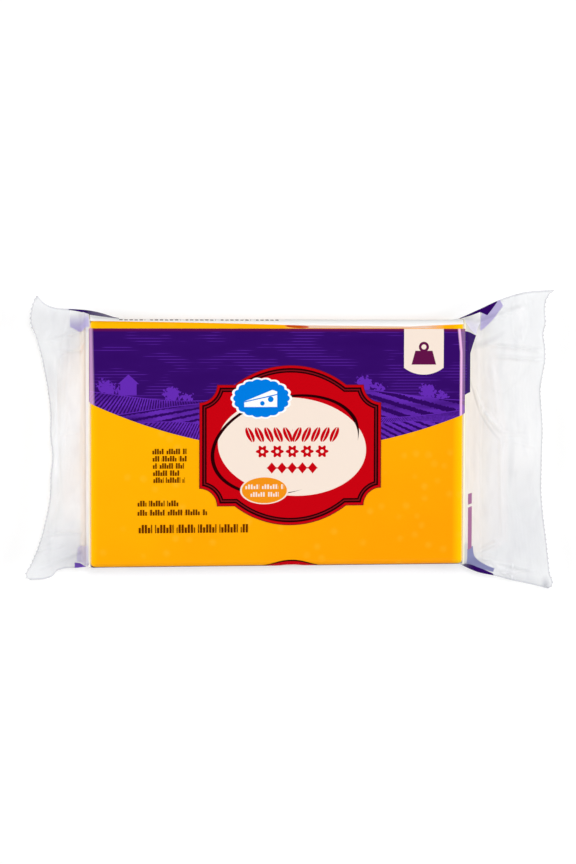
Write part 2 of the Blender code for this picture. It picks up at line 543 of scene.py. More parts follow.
def noise_of(tree, x, y, scale, detail):
    """Noise from 0 to 1 over two values."""
    both = add_node(tree, "CombineXYZ", X=x, Y=y)
    noise = add_node(
        tree, "TexNoise", {"noise_dimensions": "2D"},
        Vector=both.outputs[0], Scale=scale, Detail=detail,
    )
    return Value(tree, noise.outputs[0])


def new_group(name, inputs, colour, mask):
    """An empty shader node group that takes numbers and puts out a colour and a mask: its tree, its
    inputs as values, and its output node."""
    tree = bpy.data.node_groups.new(name, "ShaderNodeTree")
    for label in inputs:
        tree.interface.new_socket(label, in_out="INPUT", socket_type="NodeSocketFloat")
    tree.interface.new_socket(colour, in_out="OUTPUT", socket_type="NodeSocketColor")
    tree.interface.new_socket(mask, in_out="OUTPUT", socket_type="NodeSocketFloat")
    entry = tree.nodes.new("NodeGroupInput")
    values = [Value(tree, entry.outputs[label]) for label in inputs]
    return tree, values, tree.nodes.new("NodeGroupOutput")


def place_group(tree, group, **inputs):
    return add_node(tree, "Group", {"node_tree": group}, **inputs).outputs


# The print, in millimetres on the flat film. The block's front ends at these places.
FRONT_END = 1000.0 * float(HALF_LENGTH)
CREASE = 1000.0 * float(HALF_SHEET)
# Where the film passes the block's end faces.
LEFT_EDGE = -80.6
RIGHT_EDGE = 79.6

# The dark band: straight above, a parabola below. On the right a strip of it runs on past the block.
BAND_TOP = 47.8
BAND_LOW = -2.65
BAND_CURVE = 0.002732
BAND_MIDDLE = 5.5
STRIP_RIGHT = 83.4
STRIP_LOW = 20.0
FLARE_FROM = 38.0

# The sky's level lines: pitch and half thickness.
SKY_LINES = (1.25, 0.17)
# Hills from far to near: base height, swell, wave, shift, the point that its furrows fan from, their
# pitch in degrees, and how much of the pitch each one takes.
HILLS = (
    (20.5, 2.6, 0.052, 0.4, (-48, 46), 2, 0.62),
    (14, 3.2, 0.047, 2.6, (66, 33), 1.3, 0.72),
    (6.5, 2.8, 0.060, 4.4, (-20, 40), 1.6, 0.70),
)
# The trees repeat along the far skyline: each one's crown and bush, as middle and half size.
TREE_START = 9.0
TREE_PITCH = 27.0
TREE_SHAPES = (((0.0, 2.4), (3.4, 2.9)), ((6.0, 1.2), (2.6, 1.6)))
SHED_PLACE = (-63.0, 22.6)
SHED_HALF = (3.4, 2.4)

PLAQUE_MIDDLE = (4.8, -0.85)
PLAQUE_HALF = (38.35, 25.35)
PLAQUE_NOTCH = 7.4
PLAQUE_ARCH_RADIUS = 38.1
PLAQUE_ARCH_SINK = 4.65
# Depths from the plaque's edge at which its ink changes.
PLAQUE_LINES = (0.35, 1.2, 1.95, 2.45, 3.1)

OVAL_MIDDLE = (5.5, -1.4)
OVAL_HALF = (31.3, 20.5)
OVAL_TURN = math.radians(-4.5)
RING_MIDDLE = (2.75, -0.7)
RING_HALF = (31.3, 19.8)
RING_TURN = math.radians(14.0)
RING_ENDS = ((8.4, -20.4), (33.2, 1.1))
RING_TAPER = 7.0
RING_HALF_WIDTH = 0.5

ROSETTE_MIDDLE = (-7.5, 18.8)
ROSETTE_HALF = (12.2, 8.2)
ROSETTE_SCALLOPS = 18
# On the rosette, from its middle: the wedge, its two holes, and the line below its cut face.
WEDGE = ((6.6, -3.6), (6.6, 2.8), (4.6, 3.5), (-7.2, -1.3), (-7.2, -3.6))
HOLES = (((3.9, -0.4), (1.2, 1.2)), ((0.4, -2.1), (0.95, 0.95)))
FACE_LINE = ((6.6, 1.6), (-7.2, -1.5))
SEAL_MIDDLE = (-6.2, -19.6)
SEAL_HALF = (10.2, 5.8)
# Its rows of dashes: reach each way, height and pitch.
SEAL_ROWS = ((8.2, 1.5, 1.15), (6.0, -1.7, 1.05))

# The ornament on the oval: each row's height and reach each way, and the pitches of its shapes.
TITLE_ROWS = (3.6, -3.4, -10.3)
TITLE_REACH = (19.75, 15.6, 10.7)
LEAF_PITCH = 3.95
LEAF_HALF = (1.6, 3.1)
LEAF_LEAN = 0.4
FLOWER_PITCH = 6.3
FLOWER_RADIUS = 2.25
LOZENGE_PITCH = 4.3
LOZENGE_HALF = 2.0

TAB_MIDDLE = 61.2
TAB_HALF = 8.45
TAB_LOW = 28.6
TAB_RADIUS = 13.76
# The weight on it: heights of its top and middle, half width of its top and half height, how far
# its sides lean out, and its ring's height, radius and half thickness.
WEIGHT_TOP = 38.4
WEIGHT_MIDDLE = 35.7
WEIGHT_HALF = (3.7, 2.9)
WEIGHT_LEAN = 0.28
WEIGHT_RING = (40.2, 1.6, 0.55)

# Rows of small strokes: left, right, middle height, half height, pitch.
DASH_ROWS = (
    (-53.2, -38.9, -3.2, 1.15, 0.98),
    (-53.1, -38.7, -6.2, 1.15, 1.03),
    (-53, -40, -9.2, 1.15, 0.96),
    (-52.9, -41.9, -12.2, 1.15, 1.01),
    (-52.8, -39.6, -15.1, 1.15, 0.99),
    (-59.4, -42.3, -24.8, 1.2, 1.08),
    (-59.4, -30.3, -28.6, 1.2, 1.05),
    (-59, -13.1, -35.4, 1.75, 1.28),
)


def band_distance(x, y):
    """Signed distance to the band, and to the strip of it past the block's right end."""
    from_middle = x - BAND_MIDDLE
    lower = from_middle * from_middle * BAND_CURVE + BAND_LOW
    on_block = (lower - y).within(y - BAND_TOP).within(x - RIGHT_EDGE).within(LEFT_EDGE - x)
    flare = ((y - FLARE_FROM) | 0.0) * 0.45
    slant = STRIP_LOW - y + (x - RIGHT_EDGE) * 0.35
    strip = (RIGHT_EDGE - x).within(x - flare - STRIP_RIGHT).within(slant).within(y - BAND_TOP + 1.0)
    return on_block.joined(strip)


def paint_strip(canvas, x, y, film):
    canvas.paint(inside(band_distance(x, y)), film.band)


def trees_and_shed(x, y, skyline, ragged):
    """Signed distance to the ragged trees on the far skyline and to the shed."""
    along = (x - TREE_START).wrapped(TREE_PITCH)
    crown, bush = (oval(along, y - skyline, *shape) for shape in TREE_SHAPES)
    trees = crown.joined(bush) + (ragged - 0.5) * 5.5
    wall = box(x, y, SHED_PLACE, SHED_HALF)
    eaves = SHED_PLACE[1] + 2.2 - y
    roof = (abs(x - SHED_PLACE[0]) + (y - SHED_PLACE[1]) * 1.1 - 6.8).within(eaves)
    return trees.joined(wall).joined(roof)


def paint_band(canvas, x, y, film):
    """The dark band with an engraving of its own: three hills, each with furrows that fan from a
    point of its own, round trees and a shed on the far skyline, and fine level lines in the sky.
    Painted highlights run along it where it turns over the block's rounded ends."""
    band = inside(band_distance(x, y))
    canvas.paint(band, film.band)
    ragged = noise_of(canvas.tree, x, y, 0.9, 3.0)
    patchy = noise_of(canvas.tree, x * 0.1, y * 0.35, 0.45, 2.0)
    level = inside(abs(y.wrapped(SKY_LINES[0])) - SKY_LINES[1]) & fading(patchy, 0.5, 0.6)
    canvas.tint((level * 0.5 | (patchy * 0.12)) & band, film.engraving)
    for number, (base, swell, wave, shift, fan_point, pitch, share) in enumerate(HILLS):
        skyline = (x * wave + shift).reckon("SINE") * swell + base
        if number == 0:
            canvas.tint(inside(trees_and_shed(x, y, skyline, ragged)) & band, film.engraving)
        ground = inside(y - skyline) & band
        canvas.tint(ground, film.band)
        fan = (y - fan_point[1]).reckon("ARCTAN2", x - fan_point[0]) * math.degrees(1.0)
        width = ragged * 0.9 + (share - 0.45)
        rows = inside((abs(fan.wrapped(pitch)) - width * pitch * 0.42) * 2.0) * fading(patchy, 0.1, 0.6)
        rim = inside(abs(y - skyline) - 0.3)
        canvas.tint((rows | rim) & ground, film.engraving)
    top_line = fading(y, BAND_TOP - 1.5, BAND_TOP - 0.2) & band
    canvas.tint(top_line * 0.75, film.maroon)
    # Painted highlights on the band where it turns over the block's rounded ends.
    left_highlight = fading(x + y * 0.022, LEFT_EDGE + 4.2, LEFT_EDGE + 3.2)
    left_highlight = left_highlight & fading(x, LEFT_EDGE + 0.1, LEFT_EDGE + 0.9)
    canvas.tint(left_highlight * 0.5 & band, film.band_highlight)
    from_edge = RIGHT_EDGE - 2.3 - x
    right_highlight = fading(abs(from_edge - ((y - FLARE_FROM) | 0.0) * 0.1), 0.85, 0.3)
    dim_highlight = fading(from_edge, 0.4, -0.4) & fading(from_edge, -2.3, -1.9)
    canvas.tint((right_highlight * 0.9 | (dim_highlight * 0.22)) & band, film.band_highlight)


def plaque_distance(x, y):
    """Signed distance to the plaque: a box with round bites out of its corners, joined to a disc
    that arches over its top and bottom."""
    across = abs(x - PLAQUE_MIDDLE[0])
    up = abs(y - PLAQUE_MIDDLE[1])
    past_side = across - PLAQUE_HALF[0]
    past_top = up - PLAQUE_HALF[1]
    bite = PLAQUE_NOTCH - past_side.size(past_top)
    arch = across.size(up + PLAQUE_ARCH_SINK) - PLAQUE_ARCH_RADIUS
    return past_side.within(past_top).within(bite).joined(arch)


def paint_plaque(canvas, x, y, film):
    """The plaque with its inner lines, the tilted oval, and an open ring that tapers to its ends."""
    plaque = plaque_distance(x, y)
    canvas.paint(inside(plaque), film.maroon)
    inks = (film.plaque, film.border, film.maroon, film.border, film.plaque)
    for depth, ink in zip(PLAQUE_LINES, inks):
        canvas.tint(inside(plaque + depth), ink)
    canvas.tint(inside(oval(x, y, OVAL_MIDDLE, OVAL_HALF, OVAL_TURN)), film.paper)
    ring = oval(x, y, RING_MIDDLE, RING_HALF, RING_TURN)
    past_ends = beyond(x, y, *RING_ENDS)
    swell = fading(past_ends, 0.0, -RING_TAPER) * RING_HALF_WIDTH
    canvas.tint(inside(abs(ring) - swell) & inside(past_ends), film.border)


def paint_rosette(canvas, x, y, film):
    """A scalloped rosette with a white rim and a wedge of cheese on it, and a small oval with two
    rows of dashes."""
    across = x - ROSETTE_MIDDLE[0]
    up = y - ROSETTE_MIDDLE[1]
    turn = (up / ROSETTE_HALF[1]).reckon("ARCTAN2", across / ROSETTE_HALF[0])
    scallop = abs((turn * (ROSETTE_SCALLOPS / 2)).reckon("COSINE")) * 0.5
    edge = oval(x, y, ROSETTE_MIDDLE, ROSETTE_HALF) - scallop
    canvas.tint(inside(edge), film.white)
    canvas.tint(inside(edge + 0.7), film.rosette)
    wedge = inside(patch(across, up, *WEDGE))
    canvas.tint(wedge, film.white)
    large, small = (oval(across, up, *hole) for hole in HOLES)
    face_line = abs(beyond(across, up, *FACE_LINE)) - 0.22
    canvas.tint(inside(large.joined(small).joined(face_line)) & wedge, film.rosette)
    seal = oval(x, y, SEAL_MIDDLE, SEAL_HALF)
    canvas.tint(inside(seal), film.paper)
    canvas.tint(inside(seal + 0.4), film.seal)
    for reach, height, pitch in SEAL_ROWS:
        left, right = SEAL_MIDDLE[0] - reach, SEAL_MIDDLE[0] + reach
        row = dashes(x, y, left, right, SEAL_MIDDLE[1] + height, 0.95, pitch)
        canvas.tint(row, film.paper)


def paint_title(canvas, x, y, film):
    """Three rows of plain ornament on the oval: leaves that lean outwards, small six-petalled
    flowers, and lozenges on a line."""
    x = x - OVAL_MIDDLE[0]
    up = y - TITLE_ROWS[0]
    leaned = abs(x) - up * LEAF_LEAN
    lean = (leaned - LEAF_PITCH / 2).wrapped(LEAF_PITCH)
    leaf = inside(oval(lean, up, (0.0, 0.0), LEAF_HALF)) & inside(0.15 - abs(lean))
    canvas.tint(leaf & inside(leaned - TITLE_REACH[0]), film.plaque)
    up = y - TITLE_ROWS[1]
    across = x.wrapped(FLOWER_PITCH)
    radius = across.size(up)
    petals = (up.reckon("ARCTAN2", across) * 6.0).reckon("COSINE") * 0.5 + FLOWER_RADIUS
    flowers = (radius - petals).within(0.75 - radius)
    canvas.tint(inside(flowers.within(abs(x) - TITLE_REACH[1])), film.plaque)
    up = y - TITLE_ROWS[2]
    lozenge = abs(x.wrapped(LOZENGE_PITCH)) + abs(up) * 0.85 - LOZENGE_HALF
    canvas.tint(inside(lozenge.joined(abs(up) - 0.25).within(abs(x) - TITLE_REACH[2])), film.plaque)


def paint_tab(canvas, x, y, film):
    """The tab that hangs from the band's top, round at its foot, with a kitchen weight on it."""
    side = abs(x - TAB_MIDDLE) - TAB_HALF
    foot = (x - TAB_MIDDLE).size(y - TAB_LOW - TAB_RADIUS) - TAB_RADIUS
    canvas.tint(inside(side.within(foot).within(y - BAND_TOP)), film.paper)
    across = abs(x - TAB_MIDDLE)
    body = across + (y - WEIGHT_TOP) * WEIGHT_LEAN - WEIGHT_HALF[0]
    body = body.within(abs(y - WEIGHT_MIDDLE) - WEIGHT_HALF[1])
    height, radius, half_width = WEIGHT_RING
    ring = abs(across.size(y - height) - radius) - half_width
    canvas.tint(inside(body.joined(ring)), film.plum)


def dashes(x, y, left, right, middle, half_height, pitch):
    """A row of short upright strokes, every third one taller, with a gap after each few."""
    across = x - left
    centred = across - pitch / 2
    row = box(x, y, ((left + right) / 2, middle), ((right - left) / 2, half_height))
    stroke = abs(centred.wrapped(pitch)) - pitch * 0.32
    each_third = pitch * 0.5 - abs(centred.wrapped(pitch * 3.0))
    lower = each_third.joined(y - middle - half_height * 0.3)
    gap = pitch * 0.5 - abs((across + middle * 1.7).wrapped(pitch * 7.0))
    return inside(row.within(stroke).within(lower).within(gap))


def paint_dashes(canvas, x, y, film):
    for row in DASH_ROWS:
        canvas.paint(dashes(x, y, *row), film.brown)


# The upper narrow side has a white panel: its lower left corner, and where its lower edge changes
# its slope, as (place along, change of slope).
PANEL_START = (-79.0, 51.7)
PANEL_TURNS = ((-75.0, -0.030), (10.0, 0.020), (55.0, 0.060))
RED_STREAK = ((7.5, 48.7), (5.0, 0.65))
SIDE_DASHES_AT = 64.0
SIDE_OVAL = (5.3, -57.4)
SIDE_OVAL_HALF = (13.4, 8.6)


def paint_sides(canvas, x, y, film):
    """The narrow sides: a white panel with dashes on the upper one, with a painted highlight on the
    bare strip below it along the rounded top edge, and on the lower one a thin line of the band and
    the top of an oval."""
    low = PANEL_START[1]
    for turn, slope in PANEL_TURNS:
        low = ((x - turn) | 0.0) * slope + low
    panel = (low - y).within(y - 76.0).within(PANEL_START[0] - x).within(x - RIGHT_EDGE + 1.2)
    # Painted highlight: the bare strip along the rounded top edge is paled with paper ink.
    top_highlight = fading(y, BAND_TOP, BAND_TOP + 0.5) & fading(low - y, -0.5, 0.5)
    top_highlight = top_highlight & fading(abs(x - 36.0), 34.0, 26.0)
    canvas.paint(top_highlight * 0.7, film.paper)
    canvas.paint(inside(oval(x, y, *RED_STREAK, math.radians(-3.0))) * 0.6, film.plaque)
    canvas.paint(inside(panel), film.white)
    canvas.tint(dashes(x, y, -67.0, 0.0, 53.4, 0.8, 2.1), film.border)
    up = y - SIDE_DASHES_AT
    rows = dashes(x, up.wrapped(3.4), -60.0, 30.0, 0.0, 0.8, 1.6)
    canvas.tint(rows & inside(abs(up) - 6.0), film.brown)
    line = box(x, y, (0.0, -64.0), (FRONT_END - 0.6, 10.6))
    canvas.paint(inside(line), film.lavender)
    canvas.tint(inside(line + 0.8), film.band)
    side = oval(x, y, SIDE_OVAL, SIDE_OVAL_HALF)
    canvas.paint(inside(side), film.border)
    canvas.tint(inside(side + 0.6), film.plaque)
    canvas.tint(inside(side + 3.2), film.paper)


# Ink on the folds past the block's four corners, as patches on the nearer sheet, whose crease is
# at CREASE. The dark ones run along the crease and a little past it.
UPPER_RIGHT_WHITE = (
    (79.8, 50.8), (82.9, 48.4), (87.2, 47), (90.4, 56.5), (90.2, 64.6), (79.8, 64.6),
)
UPPER_RIGHT_PALE = ((87.2, 47.0), (101.6, 60.8), (100.0, 64.6), (90.2, 64.6), (90.2, 56.5))
UPPER_RIGHT_DARK = (
    ((79, 64.6), (79, 60.6), (90.3, 62), (90.3, 64.6)),
    ((90.2, 64.6), (90.2, 61.9), (94, 58.9), (98.9, 63.4), (98.9, 64.6)),
)
UPPER_LEFT_PALE = ((-95.2, 64.6), (-95.2, 54.4), (-88.5, 51.6), (-80.2, 46.7), (-80.2, 64.6))
UPPER_LEFT_DARK = (
    ((-95.6, 64.6), (-95.6, 63.6), (-86.3, 62.2), (-86.3, 64.6)),
    ((-86.4, 64.6), (-86.4, 62.2), (-79.5, 58.6), (-79.5, 64.6)),
    ((-79.6, 64.6), (-79.6, 58.2), (-75.5, 57.2), (-70.5, 57), (-66.5, 58.5), (-66, 64.6)),
)
LOWER_RIGHT_PALE = (
    (82, -45.7), (82, -57.5), (86, -60.5), (98.1, -62.4), (99, -60), (90, -45.7),
)
# The round hollow in its edge.
HOLLOW_MIDDLE = (101.4, -45.4)
HOLLOW_RADIUS = 15.3
LOWER_RIGHT_DARK = (
    ((81.6, -56.2), (81.6, -64.6), (90.5, -64.6), (89.5, -60.4)),
    ((89, -60.2), (89, -64.6), (98.4, -64.6), (98.2, -63.2)),
)
LOWER_LEFT_PALE = ((-92.2, -53.8), (-92.6, -61.0), (-82.5, -61.0), (-82.5, -43.8), (-84.0, -44.1))
LOWER_LEFT_DARK = ((-93.4, -61.2), (-93.4, -64.6), (-84.0, -64.6), (-84.0, -63.2))
# The stripe past the block's right end, and the gap in it.
STRIPE = ((83.7, -34.2), (1.4, 12.0))
STRIPE_GAP = (-27.4, 0.6)


def paint_folds(canvas, x, y, film):
    """Ink on the folds: dark along the crease, pale beside it, and a stripe on the right."""
    up = CREASE - abs(abs(y) - CREASE)
    upper, lower = inside(-y), inside(y)
    white = inside(patch(x, up, *UPPER_RIGHT_WHITE)) & upper
    # White ink under lavender that fades towards the crease, leaving a painted highlight there.
    canvas.paint(white & 0.8, film.white)
    canvas.paint(white * fading(up, 60.0, 48.0) * 0.45, film.lavender)
    canvas.paint(inside(patch(x, up, *UPPER_RIGHT_PALE)) & upper & 0.85, film.lavender)
    canvas.paint(inside(patches(x, up, UPPER_RIGHT_DARK)) & upper, film.band)
    pale = inside(patch(x, up, *UPPER_LEFT_PALE)) & upper
    # White ink under lavender that fades towards the crease, leaving a painted highlight there.
    canvas.paint(pale * 0.6, film.white)
    canvas.paint(pale * fading(up, 62.0, 54.0) * 0.85, film.lavender)
    canvas.paint(inside(patches(x, up, UPPER_LEFT_DARK)) & upper, film.band)
    up = -up
    hollow = HOLLOW_RADIUS - (x - HOLLOW_MIDDLE[0]).size(up - HOLLOW_MIDDLE[1])
    canvas.paint(inside(patch(x, up, *LOWER_RIGHT_PALE).within(hollow)) & lower, film.dusk)
    canvas.paint(inside(patches(x, up, LOWER_RIGHT_DARK)) & lower, film.band)
    gap = STRIPE_GAP[1] - abs(y - STRIPE_GAP[0])
    canvas.paint(inside(box(x, y, *STRIPE).within(gap)), film.mauve)
    canvas.paint(inside(patch(x, up, *LOWER_LEFT_PALE)) & lower & 0.35, film.lavender)
    canvas.paint(inside(patch(x, up, *LOWER_LEFT_DARK)) & lower & 0.85, film.engraving)


# The panel on each half of the back, measured from the lap seam: middle, half width, half height.
BACK_PANEL = (22.0, 70.0, 17.0)
BACK_RULED = (42.0, 20.0, 12.5)


def paint_back(canvas, x, y, film):
    """The back: a framed white panel with rows of dashes and a ruled box, each side of the seam."""
    across = abs(abs(y) - 2.0 * CREASE)
    middle, half_width, half_height = BACK_PANEL
    panel = box(x, across, (0.0, middle), (half_width, half_height))
    canvas.paint(inside(panel), film.band)
    canvas.tint(inside(panel + 1.2), film.white)
    rows = dashes(x, (across - middle).wrapped(3.6), -64.0, 12.0, 0.0, 0.8, 1.8)
    rows = rows & inside(abs(across - middle) - 13.0)
    ruled = box(x, across, (BACK_RULED[0], middle), BACK_RULED[1:])
    lines = (abs(ruled) - 0.35).joined((abs((across - middle).wrapped(4.0)) - 0.15).within(ruled))
    canvas.tint(rows | inside(lines), film.brown)


# What is painted on each of the film's finishes.
FINISHES = {
    "Film front": (
        paint_band, paint_sides, paint_plaque, paint_rosette, paint_title, paint_tab, paint_dashes,
    ),
    "Film sides": (paint_sides, paint_folds, paint_back),
    "Film ends": (paint_strip, paint_folds),
}


def print_group(name, painters, film):
    """The inks of one finish: their colour, and how far they cover the film."""
    tree, (x, y), leave = new_group(name, ("X", "Y"), "Colour", "Cover")
    canvas = Canvas(tree, film.band)
    for painter in painters:
        painter(canvas, x, y, film)
    feed_all(tree, leave, Colour=canvas.colour, Cover=canvas.cover)
    return tree


# Painted highlights and painted shade on the loose film, as soft ovals: middle, half size, turn in
# degrees, strength.
HIGHLIGHT_SPOTS = (
    ((112.5, 0), (7.5, 23), 0, 0.95),
    ((104, 33), (7, 7.5), 0, 0.7),
    ((88.1, 21.8), (7.8, 1.6), -63.8, 0.55),
    ((95.9, 9.5), (7.4, 1.8), -51, 0.7),
    ((106.2, 2.6), (6.2, 1.6), -13.7, 0.6),
    ((109, 55), (2.4, 9), 0, 0.8),
    ((-99.2, 8), (1.9, 36), -4, 0.9),
    ((106.5, -60.2), (1.8, 1.4), 0, 1),
    ((106.5, -60.2), (3.6, 0.5), 20, 0.8),
    ((106.5, -60.2), (0.5, 2.8), 0, 0.8),
)
# Painted shade in the film's folds and corners.
SHADE_SPOTS = (
    ((112, -42), (13, 21), 0, 0.3),
    ((93.5, 45), (7.5, 1.4), 24, 0.3),
    ((86.7, 19.6), (7.5, 0.6), -63.8, 0.35),
    ((94.3, 7.6), (7, 0.6), -51, 0.35),
    ((105.5, -14), (1.3, 15), 0, 0.2),
    ((111, -62.8), (17, 3), 0, 0.35),
    ((121.2, -62.8), (2, 3.4), 0, 0.8),
    ((-94, -55), (16, 14), 0, 0.38),
    ((-98, 52), (14, 13), 0, 0.2),
    ((-103.4, 31), (2.6, 9), 0, 0.3),
    ((-90, 46.5), (9, 1.3), 6, 0.2),
)
# How much the film hides beside the left end face, down the slope past the right one, along the
# block's short edges where their highlight is painted and along its own edges where shade is
# painted, and how much more on the painted highlights.
LEFT_HIDES = 0.85
SLOPE_HIDES = 0.62
EDGE_HIDES = 0.85
RIM_HIDES = 0.6
HIGHLIGHT_HIDES = 0.45
# Painted warm light cast by the cheese on the loose film: a spot and patches beside its ends.
WARM_SPOT = ((-88.5, 43.2), (1.8, 1.8))
WARM_PATCHES = (
    ((79.6, -48), (99, -52), (104.2, -46.4), (104, 2), (98.6, 45.5), (79.6, 37.5)),
    ((-98.3, -41.4), (-80.6, -35), (-80.6, 39), (-98.3, 43.9)),
)


def spotted(x, y, spots):
    """How strongly the strongest of some soft ovals covers a place."""
    masks = []
    for middle, half, turn, strength in spots:
        distance = oval(x, y, middle, half, math.radians(turn))
        masks.append(fading(distance, min(half) * 0.6, -min(half) * 0.8) * strength)
    return functools.reduce(Value.__or__, masks)


def haze_group(film):
    """The unprinted film: its tint, and how much it hides past the block's ends, which is most
    beside the end faces, where it stands steeply. The tint holds painted highlights, painted shade
    and painted warm light from the cheese."""
    tree, (x, y, to_cut), leave = new_group("Film haze", ("X", "Y", "To Cut"), "Tint", "Hide")
    past = past_block(x)
    canvas = Canvas(tree, film.clear)
    # Painted warm light from the cheese.
    warm = patches(x, y, WARM_PATCHES)
    canvas.tint(fading(warm, 0.8, -0.8), film.cream)
    canvas.tint(fading(oval(x, y, *WARM_SPOT), 0.9, -0.9) * 0.3, film.seal)
    # Painted highlights, then painted shade, on the loose film.
    bright = spotted(x, y, HIGHLIGHT_SPOTS)
    canvas.tint(bright, film.gleam)
    canvas.tint(spotted(x, y, SHADE_SPOTS), film.shade)
    dull = noise_of(tree, x * 0.3, y * 0.1, 0.55, 2.0)
    canvas.tint(fading(dull, 0.5, 0.85) * 0.16, film.shade)
    # Painted shade along the film's cut edges and the creases of its folds.
    rim = fading(to_cut, 1.1, 0.1) | fading(abs(abs(y) - CREASE), 1.3, 0.2)
    canvas.tint(rim * 0.6, film.shade)
    # Painted highlight along the block's rounded short edges, where the film leaves them.
    end_highlight = fading(past, -2.0, -0.4) & fading(past, 0.9, 0.3)
    canvas.tint(end_highlight, film.edge)
    loose = fading(past, -0.3, 0.5)
    left = fading(past, 6.0, 3.5) & inside(x)
    slope = fading(past, 18.0, 10.0) & inside(-x)
    hide = bright * HIGHLIGHT_HIDES + film.haze | (left * LEFT_HIDES) | (slope * SLOPE_HIDES)
    rim = (rim & fading(past, 2.0, 6.0)) * RIM_HIDES
    cover = (loose & hide) | rim | (end_highlight * EDGE_HIDES)
    feed_all(tree, leave, Tint=canvas.colour, Hide=cover)
    return tree


def past_block(x):
    """How far a place on the film is past the block's nearer end face."""
    return (x - RIGHT_EDGE) | (LEFT_EDGE - x)


def new_material(name):
    material = bpy.data.materials.new(name)
    material.use_nodes = True
    return material, material.node_tree, material.node_tree.nodes["Principled BSDF"]


def film_material(name, painters, haze_tree, film):
    """Clear film: inks cover it where it is printed, and haze, ribs and crinkles show where it is
    loose."""
    material, tree, shader = new_material(name)
    place = add_node(tree, "UVMap", {"uv_map": "film"})
    parts = add_node(tree, "SeparateXYZ", Vector=place.outputs["UV"])
    form = add_node(tree, "Attribute", {"attribute_name": "to_cut"})
    x = Value(tree, parts.outputs["X"]) * 1000.0
    y = Value(tree, parts.outputs["Y"]) * 1000.0
    to_cut = Value(tree, form.outputs["Fac"]) * 1000.0
    inks = place_group(tree, print_group(name + " print", painters, film), X=x, Y=y)
    haze = place_group(tree, haze_tree, X=x, Y=y, To_Cut=to_cut)
    canvas = Canvas(tree, haze["Tint"])
    cover = Value(tree, inks["Cover"])
    alpha = (1.0 - cover) * Value(tree, haze["Hide"]) + cover
    canvas.tint(cover / (alpha | 0.001), inks["Colour"])
    loose = fading(past_block(x), 0.0, 3.0)
    crinkle = noise_of(tree, x, y * 0.7, 0.11, 5.0)
    rib_turn = 2.0 * math.pi / (1000.0 * RIB_LENGTH)
    ribs = (to_cut * rib_turn).reckon("SINE") * fading(to_cut, 19.0, 17.0) * 0.004
    relief = (crinkle + ribs) * loose
    bump = add_node(tree, "Bump", Strength=0.5, Distance=0.001, Height=relief)
    feed_all(
        tree, shader, Base_Color=canvas.colour, Alpha=alpha, Roughness=0.35, IOR=1.45,
        Specular_IOR_Level=0.04, Coat_Weight=cover.reckon("MULTIPLY_ADD", -0.97, 1.0),
        Coat_Roughness=0.12, Normal=bump.outputs["Normal"],
    )
    return material


def cheddar_material(cheese):
    """Cut cheddar: slow drifts of depth, with painted shade that darkens it towards the lower right,
    and a painted highlight that makes it paler along its short rounded edges, with small pale flecks
    and a faint curd grain under the film."""
    material, tree, shader = new_material("Cheddar")
    place = add_node(tree, "TexCoord").outputs["Object"]
    drift = add_node(tree, "TexNoise", Vector=place, Scale=22.0, Detail=3.0, Roughness=0.5)
    grain = add_node(tree, "TexNoise", Vector=place, Scale=420.0, Detail=4.0, Roughness=0.6)
    flecks = add_node(tree, "TexVoronoi", Vector=place, Scale=150.0, Randomness=1.0)
    parts = add_node(tree, "SeparateXYZ", Vector=place)
    x, y = Value(tree, parts.outputs["X"]), Value(tree, parts.outputs["Y"])
    canvas = Canvas(tree, cheese.bright)
    # Random drifts of depth, plus painted shade that darkens the cheese towards the lower right.
    depth = Value(tree, drift.outputs[0]) * 0.7 + (x * 2.6 - y * 5.0)
    canvas.tint(fading(depth, -0.1, 0.8), cheese.deep)
    # Painted highlight: paler along the rounded short edges, half as much on the left.
    canvas.tint(fading(x, 0.0735, 0.0780) | fading(-x, 0.0755, 0.0795) * 0.5, cheese.rim)
    fleck = fading(Value(tree, flecks.outputs["Distance"]), 0.3, 0.1)
    canvas.tint(fleck & (Value(tree, grain.outputs[0]) * 0.3), cheese.fleck)
    bump = add_node(tree, "Bump", Strength=0.2, Distance=0.0004, Height=grain.outputs[0])
    feed_all(
        tree, shader, Base_Color=canvas.colour, Roughness=0.6, IOR=1.45, Specular_IOR_Level=0.1,
        Coat_Weight=0.1, Coat_Roughness=0.15, Normal=bump.outputs["Normal"],
    )
    return material


WHITE_LIGHT = (1.0, 1.0, 1.0, 1.0)
FLOOR_SIZE = 6.0
# The floor lies just below the film, and glows a little, as a lit backdrop does.
FLOOR_LEVEL = -0.0003
FLOOR_SHADE = 0.6
FLOOR_GLOW = 0.42
# Softboxes: name, place, size across and along, power in watts.
SOFTBOXES = (
    ("key", (-0.05, 0.21, 1.50), (0.3, 0.3), 8.9),
    ("fill", (0.40, -0.95, 1.15), (1.4, 0.8), 2.4),
    ("left", (-1.15, 0.00, 0.62), (0.3, 1.3), 10.3),
    ("right", (1.15, 0.00, 0.62), (0.3, 1.3), 9.5),
)
WORLD_LIGHT = 0.12


def add_object(name, data):
    thing = bpy.data.objects.new(name, data)
    bpy.context.scene.collection.objects.link(thing)
    return thing


def make_floor():
    half = FLOOR_SIZE / 2
    signs = ((-1, -1), (1, -1), (1, 1), (-1, 1))
    mesh = bpy.data.meshes.new("floor")
    mesh.from_pydata([(half * x, half * y, FLOOR_LEVEL) for x, y in signs], [], [(0, 1, 2, 3)])
    material, tree, shader = new_material("Studio floor")
    feed_all(
        tree, shader, Base_Color=(FLOOR_SHADE, FLOOR_SHADE, FLOOR_SHADE, 1.0), Roughness=0.9,
        Specular_IOR_Level=0.0, Emission_Color=WHITE_LIGHT, Emission_Strength=FLOOR_GLOW,
    )
    material.cycles.emission_sampling = "NONE"
    mesh.materials.append(material)
    add_object("floor", mesh)


